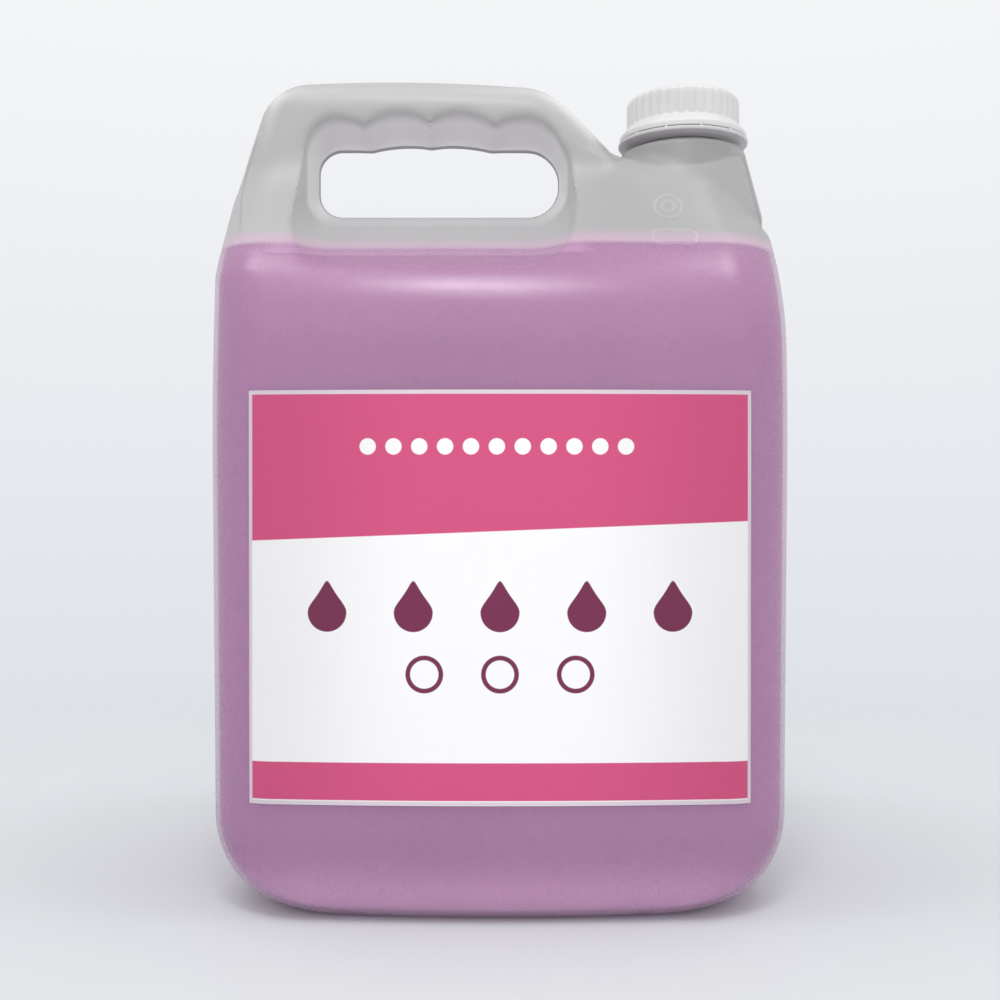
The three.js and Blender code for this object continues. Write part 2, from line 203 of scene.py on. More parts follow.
def roundedBox(qx, qy, radius):
    outside = np.hypot(np.maximum(qx, 0), np.maximum(qy, 0))
    return outside + np.minimum(np.maximum(qx, qy), 0) - radius


def bodySkin(x, y, z, inset):
    away = np.minimum(1, np.abs(x - (grip["peak"] - halfWidth)) / grip["crownReach"])
    crownShare = np.clip(1 - (top - z) / grip["thickness"], 0, 1)
    z = z + grip["crown"] * crownShare * away * away
    full = halfDepth - inset
    gripHalf = grip["depth"] / 2 - inset
    slant = math.hypot(1, shoulderSlope)
    lean = grip["depth"] / 2 + (shoulderTop - z) * shoulderSlope - inset * slant
    upright = softMax(softMin(full, lean, can["blend"]), gripHalf, can["blend"] / 2)
    lowIn = roundIn(z - inset, can["faceBase"] - inset)
    topIn = roundIn(top - inset - z, grip["topRound"] - inset)
    depth = upright - lowIn - topIn
    aboveStep = smoothStep(-1, 1, (z - can["stepHeight"]) / can["stepSoftness"])
    depth = depth - can["stepDepth"] * (1 - aboveStep)
    swell = can["bow"] * np.clip((upright - grip["depth"] / 2) / (full - grip["depth"] / 2), 0, 1)
    side = halfWidth - can["draft"] * np.maximum(0, 1 - z / can["draftHeight"])
    side = side - can["topDraft"] * smoothStep(*can["topDraftFrom"], z)
    leanStart = top - grip["rearRise"]
    rearLine = halfWidth - grip["rearLean"] * (z - leanStart) / grip["rearRise"]
    low = roundIn(z - inset, can["sideBase"] - inset)
    rear = softMin(side, rearLine, grip["rearBlend"]) - inset - low
    rear = -(rear - roundIn(top - inset - z, grip["rearCorner"] - inset))
    run = (halfWidth - notchX) / (notchZ - (shoulderTop - grip["depth"] / 2))
    underCone = notchX + (notchZ - z) * run
    slope = notchX - (z - notchZ) * grip["neckRun"] / (top - notchZ)
    front = softMin(side, np.maximum(underCone, slope), neck["sideRound"]) - inset - low
    front = front - roundIn(top - inset - z, grip["neckCorner"])
    middle = (rear + front) / 2
    half = (front - rear) / 2
    edge = np.where(x > middle, can["neckShoulder"], can["rearShoulder"])
    radius = np.minimum(can["corner"], np.maximum(edge, upright + inset - sideFlat)) - inset
    radius = np.minimum(radius, depth - can["cornerPlay"])
    across = np.clip(np.abs(x - middle) / np.maximum(half - radius, 1), 0, 1)
    qy = np.abs(y) - swell * (1 - across * across) - (depth - radius)
    skin = roundedBox(np.abs(x - middle) - (half - radius), qy, radius)
    basin = smoothStep(0, can["pushUpMargin"], -skin - can["pushUpMargin"])
    floor = inset + can["pushUp"] * basin
    return np.maximum(skin, np.maximum(floor - z, z - (top - inset)))


# 0 on the cusp between two finger grooves, 1 in the middle of a groove
def fingerGroove(x):
    place = np.abs(x - grooveMiddle) / hole["pitch"]
    wave = np.sqrt(np.abs(np.sin(place * math.pi)))
    return np.where(place < hole["grooves"] / 2, wave, 0)


# Below 0 in the finger hole and the recess round it
def fingerHole(x, y, z, grow):
    half = hole["pinch"] / 2
    depth = softMax(np.abs(y) - half, 0, hole["rimSoftness"]) - hole["rimSoftness"] / 4

    def reach(flare):
        grown = (depth + grow * math.hypot(1, flare)) / flare
        return np.maximum(grown, half) if grow > 0 else grown

    side = softMin(reach(hole["sideFlare"]), hole["sideLimit"] + grow, hole["sideSoftness"])
    up, down = reach(hole["topFlare"]), reach(hole["baseFlare"])
    left, right = holeRear - side, holeNeck + side
    low, high = holeBottom - down, holeTop + up
    middle, halfRun = (left + right) / 2, (right - left) / 2
    radius = np.where(x > middle, hole["neckRound"], hole["rearRound"]) + side
    off = np.abs(x - grooveMiddle)
    arch = hole["crown"] * np.exp(-(off / hole["crownHalf"]) ** 2)
    groove = np.abs(np.sin(math.pi * off / hole["rimPitch"])) ** hole["rimPower"]
    groove = groove * np.where(off < hole["rimPitch"], 1, hole["outerRimShare"])
    high = high + arch + hole["rimGroove"] * groove * (off < 2 * hole["rimPitch"])
    high = high + up * hole["grooveShare"] * fingerGroove(x)
    qz = np.where(z > (low + high) / 2, z - (high - radius), (low + radius) - z)
    return roundedBox(np.abs(x - middle) - (halfRun - radius), qz, radius)


def coneSkin(x, y, z, inset):
    radius = np.minimum(coneTopRadius + (coneTop - z) * neck["taper"], coneMaxRadius) - inset
    radius = radius - neck["dive"] * np.maximum(0, neck["diveFrom"] - z)
    wall = np.hypot(x - neckX, y) - radius
    return softMax(wall, z - (coneTop - inset), neck["edge"])


def canSkin(x, y, z, inset=0.0):
    body = bodySkin(x, y, z, inset)
    recessed = softMax(body, -fingerHole(x, y, z, inset), hole["edgeSoftness"])
    grow = smoothStep(neck["blendFrom"], neck["blendTo"], np.abs(y))
    grow = grow * (1 - smoothStep(*neck["blendEnd"], x))
    softness = neck["sideBlend"] + (neck["blend"] - neck["sideBlend"]) * grow
    skin = softMin(recessed, coneSkin(x, y, z, inset), softness)
    if inset:
        return skin
    return skin - can["partingRise"] * np.exp(-(y / can["partingHalf"]) ** 2)


# Where rays from inside the can first leave it: steps outwards, then halves the last step
def castOut(origins, directions, reach=160.0, steps=160, halvings=22):
    origins = np.asarray(origins, float)
    directions = np.asarray(directions, float)
    directions = directions / np.linalg.norm(directions, axis=-1, keepdims=True)
    near = np.zeros(origins.shape[:-1])
    far = np.full(near.shape, np.nan)
    stride = reach / steps
    going = np.ones(near.shape, bool)
    for i in range(1, steps + 1):
        if not going.any():
            break
        t = i * stride
        points = origins[going] + directions[going] * t
        out = canSkin(*points.T) > 0
        index = np.argwhere(going)
        hit, miss = index[out], index[~out]
        far[tuple(hit.T)] = t
        near[tuple(miss.T)] = t
        going[tuple(hit.T)] = False
    far = np.where(np.isnan(far), near, far)
    for _ in range(halvings):
        mid = (near + far) / 2
        points = origins + directions * mid[..., None]
        out = canSkin(points[..., 0], points[..., 1], points[..., 2]) > 0
        far = np.where(out, mid, far)
        near = np.where(out, near, mid)
    return origins + directions * ((near + far) / 2)[..., None]


# Grid places whose spacing runs straight between (place, spacing) stops
def gradedLine(*stops):
    at, spacing = zip(*stops)
    places = [at[0]]
    while places[-1] < at[-1]:
        places.append(places[-1] + np.interp(places[-1], at, spacing))
    return np.array(places)


def mirroredLine(*stops):
    half = gradedLine(*stops)
    return np.concatenate([-half[:0:-1], half])


def slopeOf(field, points, step=0.01):
    value = field(*points.T)
    slopes = [(field(*(points + step * axis).T) - value) / step for axis in np.eye(3)]
    return value, np.stack(slopes, 1)


# Moves points onto the zero of a field
def ontoSkin(field, points, rounds=5, limit=0.8, leastSlope=0.5):
    for _ in range(rounds):
        value, slope = slopeOf(field, points)
        move = value / np.maximum((slope * slope).sum(1), leastSlope ** 2)
        points = points - np.clip(move, -limit, limit)[:, None] * slope
    return points


# The three grid lines of a mesh, from its stops. The middle one runs both ways from 0.
def gridLines(along, across, up):
    return gradedLine(*along), mirroredLine(*across), gradedLine(*up)


# One point for each grid cell that a field's zero runs through, and the quads between them
def fieldMesh(field, *lines):
    grid = np.stack(np.meshgrid(*lines, indexing="ij"), -1)
    values = field(grid[..., 0], grid[..., 1], grid[..., 2])
    inside = values < 0
    cells = np.array(values.shape) - 1
    sums = np.zeros((cells.prod(), 3))
    counts = np.zeros(cells.prod())
    quads = []
    for axis in range(3):
        u, v = (axis + 1) % 3, (axis + 2) % 3
        at = np.argwhere(np.diff(inside, axis=axis))
        inner = [(at[:, k] > 0) & (at[:, k] < values.shape[k] - 1) for k in (u, v)]
        at = at[inner[0] & inner[1]]
        beyond = at.copy()
        beyond[:, axis] += 1
        here, there = values[tuple(at.T)], values[tuple(beyond.T)]
        share = (here / (here - there))[:, None]
        crossing = grid[tuple(at.T)] * (1 - share) + grid[tuple(beyond.T)] * share
        corners = []
        for du, dv in ((1, 1), (0, 1), (0, 0), (1, 0)):
            cell = at.copy()
            cell[:, u] -= du
            cell[:, v] -= dv
            index = np.ravel_multi_index(tuple(cell.T), cells)
            np.add.at(sums, index, crossing)
            np.add.at(counts, index, 1)
            corners.append(index)
        quad = np.stack(corners, 1)
        entering = ~inside[tuple(at.T)]
        quad[entering] = quad[entering][:, ::-1]
        quads.append(quad)
    used = counts > 0
    newIndex = np.cumsum(used) - 1
    points = sums[used] / counts[used][:, None]
    return ontoSkin(field, points), newIndex[np.concatenate(quads)]


def gridQuads(rows, columns, closedRows=False, closedColumns=True):
    r = np.arange(rows if closedRows else rows - 1)
    c = np.arange(columns if closedColumns else columns - 1)
    r, c = (a.ravel() for a in np.meshgrid(r, c, indexing="ij"))
    below, right = (r + 1) % rows, (c + 1) % columns
    return np.stack([r * columns + c, r * columns + right, below * columns + right, below * columns + c], 1)


# A turned profile from (radius, height, rounding) corners
def softProfile(corners, longest=0.5, closed=False, share=0.48, steps=5):
    corners = [np.array(corner, float) for corner in corners]
    points = []
    for i, corner in enumerate(corners):
        ends = not closed and i in (0, len(corners) - 1)
        here = corner[:2]
        if ends or corner[2] == 0:
            points.append(here)
            continue
        before = corners[i - 1][:2] - here
        after = corners[(i + 1) % len(corners)][:2] - here
        spans = np.linalg.norm(before), np.linalg.norm(after)
        cut = min(corner[2], share * spans[0], share * spans[1])
        start, end = here + before / spans[0] * cut, here + after / spans[1] * cut
        for t in np.linspace(0, 1, steps):
            points.append(start * (1 - t) ** 2 + 2 * here * t * (1 - t) + end * t * t)
    if closed:
        points.append(points[0])
    dense = [points[0]]
    for start, end in zip(points, points[1:]):
        count = max(1, math.ceil(np.linalg.norm(end - start) / longest))
        dense.extend(start + (end - start) * k / count for k in range(1, count + 1))
    return np.array(dense[:-1] if closed else dense)


# Rings of points round the neck's axis. The change function may alter radius and height.
def turnedRings(profile, count, change=None):
    turns = np.arange(count) * 2 * math.pi / count
    radius, height, turn = np.broadcast_arrays(profile[:, :1], profile[:, 1:], turns[None, :])
    if change:
        radius, height = change(radius, height, turn)
    return np.stack([neckX + radius * np.cos(turn), radius * np.sin(turn), height], -1).reshape(-1, 3)


# 1 on the crest of a screw thread and 0 beside it
def threadRidge(turn, height, rise, drop):
    start = 2 * math.pi * (rise - neck["threadRise"] + drop) / neck["threadPitch"]
    whole = 2 * math.pi * neck["threadTurns"]
    ridge = np.zeros(turn.shape)
    for lap in range(2):
        along = (turn - start) % (2 * math.pi) + 2 * math.pi * lap
        middle = coneTop + rise + neck["threadPitch"] * along / (2 * math.pi)
        flank = (neck["threadHalf"] - np.abs(height - middle)) / neck["threadFlank"]
        runOut = np.minimum(along, whole - along) / neck["threadRunOut"]
        ridge = np.maximum(ridge, smoothStep(0, 1, flank) * smoothStep(0, 1, runOut))
    return ridge


def makePiece(name, points, faces, materials, slots=None, sharp=40, weld=False, weldReach=1e-7):
    mesh = bpy.data.meshes.new(name)
    mesh.from_pydata((np.asarray(points) * mm).tolist(), [], np.asarray(faces).tolist())
    for material in materials:
        mesh.materials.append(material)
    if slots is not None:
        mesh.polygons.foreach_set("material_index", np.asarray(slots, np.int32))
    if weld:
        shape = bmesh.new()
        shape.from_mesh(mesh)
        bmesh.ops.remove_doubles(shape, verts=shape.verts, dist=weldReach)
        bmesh.ops.recalc_face_normals(shape, faces=shape.faces)
        shape.to_mesh(mesh)
        shape.free()
    mesh.shade_smooth()
    mesh.set_sharp_from_angle(angle=math.radians(sharp))
    piece = bpy.data.objects.new(name, mesh)
    bpy.context.scene.collection.objects.link(piece)
    triangles = sum(len(face.vertices) - 2 for face in mesh.polygons)
    print(f"{name}: {triangles} triangles")
    return piece


# Shader sockets in Python expressions
class Flow:
    def __init__(self, tree, socket=None):
        self.tree = tree
        self.socket = socket

    # kind, then settings, then the values or links of sockets by name or number
    def node(self, kind, settings=None, values=None, output=0):
        node = self.tree.nodes.new("ShaderNode" + kind)
        for name, value in (settings or {}).items():
            if name == "stops":
                self.setStops(node.color_ramp, value)
            else:
                setattr(node, name, value)
        for name, value in (values or {}).items():
            if isinstance(value, Flow):
                self.tree.links.new(value.socket, node.inputs[name])
            else:
                node.inputs[name].default_value = value
        return Flow(self.tree, node.outputs[output] if node.outputs else None)

    def setStops(self, ramp, stops):
        while len(ramp.elements) < len(stops):
            ramp.elements.new(0.5)
        for element, (place, value) in zip(ramp.elements, stops):
            element.position = place
            element.color = value if isinstance(value, tuple) else (value, value, value, 1)

    def maths(self, operation, *values):
        return self.node("Math", {"operation": operation}, dict(enumerate(values)))

    # A method that puts this socket and the other values through one operation
    def method(operation, swapped=False):
        def made(self, *others):
            return self.maths(operation, *(others + (self,) if swapped else (self,) + others))
        return made

    __add__ = __radd__ = method("ADD")
    __sub__ = method("SUBTRACT")
    __rsub__ = method("SUBTRACT", swapped=True)
    __mul__ = __rmul__ = method("MULTIPLY")
    __truediv__ = method("DIVIDE")
    __abs__ = method("ABSOLUTE")
    least = method("MINIMUM")
    most = method("MAXIMUM")

    # 0 below low, 1 above high
    def ramp(self, low, high, smooth=True):
        kind = "SMOOTHSTEP" if smooth else "LINEAR"
        values = {"Value": self, "From Min": min(low, high), "From Max": max(low, high)}
        if low > high:
            values.update({"To Min": 1.0, "To Max": 0.0})
        return self.node("MapRange", {"interpolation_type": kind}, values)

    # The same between two distances from a place
    def fade(self, place, distances):
        return self.ramp(place + distances[0], place + distances[1])

    # Colour a where this is 0 and colour b where it is 1
    def between(self, a, b):
        return self.node("Mix", {"data_type": "RGBA"}, {0: self, 6: a, 7: b}, output=2)

    # A colour times this brightness
    def dim(self, colour):
        grey = self.node("CombineColor", None, {0: self, 1: self, 2: self})
        settings = {"data_type": "RGBA", "blend_type": "MULTIPLY"}
        return self.node("Mix", settings, {0: 1.0, 6: colour, 7: grey}, output=2)

    def noise(self, scale, detail=2.0, rough=0.5):
        values = {"Vector": self, "Scale": scale, "Detail": detail, "Roughness": rough}
        return self.node("TexNoise", None, values)

    def stretched(self, x, y, z):
        return self.node("VectorMath", {"operation": "MULTIPLY"}, {0: self, 1: (x, y, z)})

    def split(self):
        return [self.node("SeparateXYZ", None, {0: self}, output=k) for k in range(3)]


# A screen colour of 0 to 255 as the linear one that shaders take
def screen(r, g, b):
    shares = [c / 255 for c in (r, g, b)]
    return (*[c / 12.92 if c <= 0.04045 else ((c + 0.055) / 1.055) ** 2.4 for c in shares], 1.0)


# A material's tree, its place over the surface in metres, and a way to close it
def startMaterial(name):
    material = bpy.data.materials.new(name)
    material.use_nodes = True
    material.node_tree.nodes.clear()
    tree = Flow(material.node_tree)
    place = tree.node("TexCoord", output="Object")
    return material, tree, place


def closeMaterial(material, tree, surface, bump=None, height=0.0001):
    if bump is not None:
        surface["Normal"] = tree.node("Bump", None, {"Distance": height, "Height": bump})
    tree.node("OutputMaterial", None, {"Surface": tree.node("BsdfPrincipled", None, surface)})
    return material


# The can: outer skin, inner skin, neck with bead and thread, and two moulded marks on the cone
finish = {
    "cutAboveCone": 1.5,  # where the skins meet the turned neck
    "foot": 1.2,  # softness of the neck's foot
    "joinReach": 2.0,
    "joinGap": 0.4,  # left between the cut and the turned neck, and closed by joinNeck
    "bore": neck["radius"] - neck["wall"],
    "around": 96,
    "longest": 0.4,  # of the neck's profile steps
    "rimRound": 0.7,
    "beadRound": 0.3,
    "beadEdge": 0.2,
    # Grid stops along x, y and z, as (place, spacing)
    "outerGrid": (
        [(-99, 1.7), (-90, 2.4), (-82, 1.6), (-78, 1.0), (-62, 1.3), (-50, 2.6), (5, 2.4), (18, 1.2),
         (30, 1.2), (40, 2.2), (60, 1.9), (99, 1.7)],
        [(0, 0.3), (1.2, 0.4), (3, 1.1), (18, 1.3), (22, 2.2), (50, 2.8), (68, 1.5)],
        [(-1, 0.9), (4, 1.6), (12, 2.8), (20, 2.4), (32, 2.4), (45, 6), (165, 6), (190, 3), (205, 1.6),
         (210, 1.1), (240, 1.2), (270, 1.3), (291, 1.3)]),
    "innerGrid": (
        [(-98, 3.4), (40, 3.4), (98, 2.4)],
        [(0, 1.0), (4, 1.4), (20, 2.8), (67, 3.2)],
        [(0.2, 1.4), (12, 4), (45, 6), (165, 6), (200, 3), (240, 2.2), (290, 2.2)]),
}


def outerField(x, y, z):
    tube = np.maximum(np.hypot(x - neckX, y) - neck["radius"], coneTop - finish["foot"] - z)
    return softMin(canSkin(x, y, z), tube, finish["foot"])


def innerField(x, y, z):
    tube = np.maximum(np.hypot(x - neckX, y) - finish["bore"], coneTop - 4 * finish["foot"] - z)
    return softMin(canSkin(x, y, z, can["wall"]), tube, finish["foot"])


# Drops what lies above the cut and levels the edge that is left
def cutAtNeck(points, quads, radius):
    cut = coneTop + finish["cutAboveCone"]
    near = np.hypot(points[:, 0] - neckX, points[:, 1]) < radius + finish["joinReach"]
    gone = near & (points[:, 2] > cut)
    quads = quads[~gone[quads].any(1)]
    kept = np.unique(quads)
    newIndex = np.zeros(len(points), int)
    newIndex[kept] = np.arange(len(kept))
    return points[kept], newIndex[quads]


def neckThread(radius, height, turn):
    ridge = threadRidge(turn, height, neck["threadRise"], 0)
    outside = radius > neck["radius"] - 0.1
    return radius + neck["threadDepth"] * ridge * outside, height


def neckRings():
    radius, bore = neck["radius"], finish["bore"]
    start = coneTop + finish["cutAboveCone"] + finish["joinGap"]
    bead = coneTop + neck["beadRise"]
    beadTop = bead + neck["beadHeight"]
    crest = radius + neck["beadDepth"]
    beadRound, rimRound = finish["beadRound"], finish["rimRound"]
    profile = softProfile([
        (radius, start, 0), (radius, bead, beadRound), (crest, bead, finish["beadEdge"]),
        (crest, bead + neck["beadHeight"] / 3, beadRound), (radius, beadTop, beadRound),
        (radius, rimZ, rimRound), (bore, rimZ, rimRound), (bore, start, 0)], longest=finish["longest"])
    return turnedRings(profile, finish["around"], neckThread), len(profile)


def makeBottle(materials):
    outer = fieldMesh(outerField, *gridLines(*finish["outerGrid"]))
    inner = fieldMesh(innerField, *gridLines(*finish["innerGrid"]))
    outerPoints, outerQuads = cutAtNeck(*outer, neck["radius"])
    innerPoints, innerQuads = cutAtNeck(*inner, finish["bore"])
    neckPoints, rows = neckRings()
    neckQuads = gridQuads(rows, finish["around"])
    skins = [(outerPoints, outerQuads), (innerPoints, innerQuads[:, ::-1])]
    parts = skins + [(neckPoints, neckQuads), markRidges()]
    starts = np.cumsum([0] + [len(part[0]) for part in parts])
    points = np.concatenate([part[0] for part in parts])
    faces = np.concatenate([part[1] + start for part, start in zip(parts, starts)])
    slots = np.concatenate([np.full(len(part[1]), slot) for slot, part in enumerate(parts)])
    bottle = makePiece("bottleSkin", points, faces, materials, slots)
    joinNeck(bottle.data)
    return bottle


# Closes the gaps between the skins' cut edges and the turned neck
def joinNeck(mesh):
    shape = bmesh.new()
    shape.from_mesh(mesh)
    bmesh.ops.remove_doubles(shape, verts=shape.verts, dist=1e-7)
    reach = {edge: math.hypot(edge.verts[0].co.x / mm - neckX, edge.verts[0].co.y / mm)
             for edge in shape.edges if edge.is_boundary}
    middle, limit = (neck["radius"] + finish["bore"]) / 2, neck["radius"] + finish["joinReach"]
    for near, far in ((0, middle), (middle, limit)):
        loops = [edge for edge, distance in reach.items() if near < distance <= far]
        for face in bmesh.ops.bridge_loops(shape, edges=loops)["faces"]:
            face.smooth = True
    print("neck joined,", sum(edge.is_boundary for edge in shape.edges), "open edges left")
    shape.to_mesh(mesh)
    shape.free()


# Two marks moulded on the cone: a double ring and a rounded frame
marks = {
    "width": 0.9,
    "rise": 0.4,
    "bury": 0.12,
    "flank": (0.75, 0.6),  # shares of half the width and of the rise
    "rings": (57.6, 236.0, (4.6, 2.1)),  # middle and radii
    "frame": (58.4, 223.4, 7.4, 2.9, 2.4),  # middle, half sizes and corner radius
}


def circlePath(x, z, radius, steps=48):
    turns = np.arange(steps) * 2 * math.pi / steps
    return np.stack([x + radius * np.cos(turns), z + radius * np.sin(turns)], 1)


def framePath(x, z, halfRun, halfRise, radius, steps=8):
    points = []
    for quarter, (sx, sz) in enumerate(((1, 1), (-1, 1), (-1, -1), (1, -1))):
        turns = (quarter + np.linspace(0, 1, steps)) * math.pi / 2
        middle = np.array([x + sx * (halfRun - radius), z + sz * (halfRise - radius)])
        points.append(middle + radius * np.stack([np.cos(turns), np.sin(turns)], 1))
        if quarter % 2 == 0:
            straight = np.linspace(0, 2 * (halfRun - radius), steps)[1:-1, None]
            points.append(points[-1][-1] - [sx, 0] * straight)
    return np.concatenate(points)


# A low rounded ridge along a path drawn on the front of the skin
def skinRidge(path):
    origins = np.stack([path[:, 0], np.zeros(len(path)), path[:, 1]], 1)
    points = castOut(origins, np.broadcast_to([0.0, -1.0, 0.0], origins.shape))
    outward = slopeOf(canSkin, points)[1]
    outward /= np.linalg.norm(outward, axis=1, keepdims=True)
    along = np.roll(points, -1, 0) - np.roll(points, 1, 0)
    sideways = np.cross(outward, along / np.linalg.norm(along, axis=1, keepdims=True))
    half, rise, bury = marks["width"] / 2, marks["rise"], marks["bury"]
    flankX, flankRise = marks["flank"][0] * half, marks["flank"][1] * rise
    section = [(-half, -bury), (-flankX, flankRise), (0, rise), (flankX, flankRise), (half, -bury)]
    rings = np.stack([points + sideways * across + outward * up for across, up in section], 1)
    return rings.reshape(-1, 3), gridQuads(len(points), len(section), closedRows=True)


def markRidges():
    x, z, radii = marks["rings"]
    paths = [framePath(*marks["frame"])] + [circlePath(x, z, radius) for radius in radii]
    allPoints, allFaces, count = [], [], 0
    for path in paths:
        points, faces = skinRidge(path)
        allPoints.append(points)
        allFaces.append(faces + count)
        count += len(points)
    return np.concatenate(allPoints), np.concatenate(allFaces)


# The soap, with a slight rim where it wets the wall
soap = {
    "play": 0.3,
    "rimRise": 1.0,
    "rimWidth": 1.4,
    "grid": (
        [(-98, 2.2), (-88, 2.8), (88, 2.8), (98, 2.2)],
        [(0, 2.4), (50, 2.4), (67, 1.7)],
        [(0.3, 1.2), (6, 1.4), (14, 2.8), (40, 3.5), (190, 3.5), (soapLevel - 15, 1.3),
         (soapLevel - 4, 1.1), (soapLevel - 2, 0.4), (soapLevel + 2, 0.4)]),
}


def soapField(x, y, z):
    wall = canSkin(x, y, z, can["wall"] + soap["play"])
    rim = soap["rimRise"] * np.exp(np.minimum(wall, 0) / soap["rimWidth"])
    return np.maximum(wall, z - soapLevel - rim + soap["rimRise"])


def makeSoap(material):
    points, quads = fieldMesh(soapField, *gridLines(*soap["grid"]))
    return makePiece("soapFilling", points, quads, [material])


# The label, a thin sheet that follows the skin
label = {
    "width": 161.0,
    "bottom": 38.5,
    "height": 132.0,
    "under": 0.06,
    "thickness": 0.22,
    "waves": 0.05,
    "waveTurns": (0.07, 0.021, 0.09),  # per millimetre
    "waveShift": 1.3,
    "columns": 116,
    "rows": 94,
}


def labelSheet():
    along = np.linspace(-0.5, 0.5, label["columns"]) * label["width"]
    flat = halfWidth - can["corner"]
    turn = np.clip(np.abs(along) - flat, 0, None) / can["corner"]
    heights = label["bottom"] + np.linspace(0, 1, label["rows"]) * label["height"]
    outward = np.stack([np.sign(along) * np.sin(turn), -np.cos(turn), np.zeros(len(along))], 1)
    seed = np.stack([np.clip(along, -flat, flat), np.full(len(along), -sideFlat), np.zeros(len(along))], 1)
    origins = np.repeat(seed[None], label["rows"], 0)
    origins[..., 2] = heights[:, None]
    directions = np.broadcast_to(outward, origins.shape)
    skin = castOut(origins, directions)
    slow, skew, quick = label["waveTurns"]
    height = heights[:, None]
    wave = np.sin(along * slow + height * skew) * np.sin(height * quick + label["waveShift"])
    lift = label["under"] + label["waves"] * (0.5 + 0.5 * wave)
    back = skin + directions * lift[..., None]
    return back, back + directions * label["thickness"]


def makeLabel(material):
    back, front = labelSheet()
    rows, columns = label["rows"], label["columns"]
    count = rows * columns
    sheet = gridQuads(rows, columns, closedColumns=False)
    index = np.arange(count).reshape(rows, columns)
    edge = np.concatenate([index[0], index[1:, -1], index[-1, -2::-1], index[-2:0:-1, 0]])
    nextEdge = np.roll(edge, -1)
    rim = np.stack([edge, edge + count, nextEdge + count, nextEdge], 1)
    faces = np.concatenate([sheet[:, ::-1], sheet + count, rim])
    points = np.concatenate([back.reshape(-1, 3), front.reshape(-1, 3)])
    return makePiece("labelSheet", points, faces, [material], weld=True)


# The cap, its collar and the tamper ring
cap = {
    "innerRadius": neck["radius"] + neck["threadDepth"] + 0.6,
    "wall": 1.3,
    "foot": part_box("cap")[0].z / mm,
    "top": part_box("cap")[1].z / mm,
    "topThickness": 1.6,
    "topRound": 3.0,
    "dish": 0.35,  # shallow hollow of the top
    "dishRadius": 13.8,
    "dishSlope": 0.6,
    "ribs": 36,
    "ribHeight": 0.45,
    "ribRise": 0.5,
    "ribWave": (-0.5, 0.35),  # shapes the ribs' flanks
    "ribEnd": (0.8, 0.1),  # they fade out between these, in top rounds and millimetres
    "ribInside": 0.6,
    "pointsPerRib": 8,
    "collarFlare": 3.1,
    "collarHeight": 5.4,
    "collarLip": 1.8,
    "collarRoof": 2.0,
    "rounds": {"dish": 0.5, "edge": 0.4, "foot": 0.8, "lip": 0.6, "rim": 0.35, "inside": 0.3},
    "longest": 0.45,
    "threadDepth": 1.25,
    "threadRise": 8.6,
    "nearInside": 0.1,
}

tamperRing = {
    "standsOut": 0.5,
    "foot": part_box("tamper_ring")[0].z / mm,
    "top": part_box("tamper_ring")[1].z / mm,
    "wall": 1.3,
    "bandLift": 1.0,  # the band ends this much above the web that holds it
    "webPlay": 0.6,
    "webLift": 0.2,
    "webHeight": 1.0,
    "footRound": 1.1,
    "topRound": 0.35,
    "innerRound": 0.2,
    "footEdge": 0.1,
    "around": 360,
    "longest": 0.4,
    "stubs": 12,  # what is left of the bridges to the cap
    "stubRise": 0.3,
    "stubShift": 0.25,
    "stubEdges": (0.45, 0.47, 0.53, 0.55),
    "nearTop": 0.05,
}


def capShape(radius, height, turn):
    outer = cap["innerRadius"] + cap["wall"]
    collarTop = cap["foot"] + cap["collarHeight"]
    wave = smoothStep(*cap["ribWave"], np.cos(cap["ribs"] * turn))
    lowFade = smoothStep(collarTop - cap["ribRise"], collarTop + cap["ribRise"], height)
    fadeRounds, fadeEnd = cap["ribEnd"]
    topFade = 1 - smoothStep(cap["top"] - fadeRounds * cap["topRound"], cap["top"] - fadeEnd, height)
    outside = radius > outer - cap["topRound"] * cap["ribInside"]
    onRibs = outside & (height > collarTop - cap["ribRise"])
    ridge = threadRidge(turn, height, cap["threadRise"], neck["threadPitch"] / 2)
    inside = np.abs(radius - cap["innerRadius"]) < cap["nearInside"]
    ribs = cap["ribHeight"] * wave * lowFade * topFade * onRibs
    return radius + ribs - cap["threadDepth"] * ridge * inside, height


def makeCap(material):
    inner = cap["innerRadius"]
    outer = inner + cap["wall"]
    collar = outer + cap["collarFlare"]
    foot, top = cap["foot"], cap["top"]
    collarTop = foot + cap["collarHeight"]
    collarInside = collar - cap["wall"]
    dishTop = top - cap["dish"]
    ceiling = top - cap["topThickness"]
    rounds = cap["rounds"]
    profile = softProfile([
        (0, dishTop, 0), (cap["dishRadius"] - cap["dishSlope"], dishTop, rounds["dish"]),
        (cap["dishRadius"], top, rounds["edge"]), (outer, top, cap["topRound"]),
        (outer, collarTop, rounds["foot"]), (collar, foot + cap["collarLip"], rounds["lip"]),
        (collar, foot, rounds["rim"]), (collarInside, foot, rounds["inside"]),
        (collarInside, foot + cap["collarLip"] / 2, rounds["inside"]),
        (inner, collarTop - cap["collarRoof"], rounds["edge"]), (inner, ceiling, rounds["lip"]),
        (0, ceiling, 0)], longest=cap["longest"])
    count = cap["ribs"] * cap["pointsPerRib"]
    points = turnedRings(profile, count, capShape)
    return makePiece("capShell", points, gridQuads(len(profile), count), [material], weld=True)


def ringShape(radius, height, turn):
    places = (turn * tamperRing["stubs"] / (2 * math.pi) + tamperRing["stubShift"]) % 1
    edges = tamperRing["stubEdges"]
    stub = smoothStep(*edges[:2], places) * (1 - smoothStep(*edges[2:], places))
    upper = height > tamperRing["top"] - tamperRing["nearTop"]
    return radius, height + tamperRing["stubRise"] * stub * upper


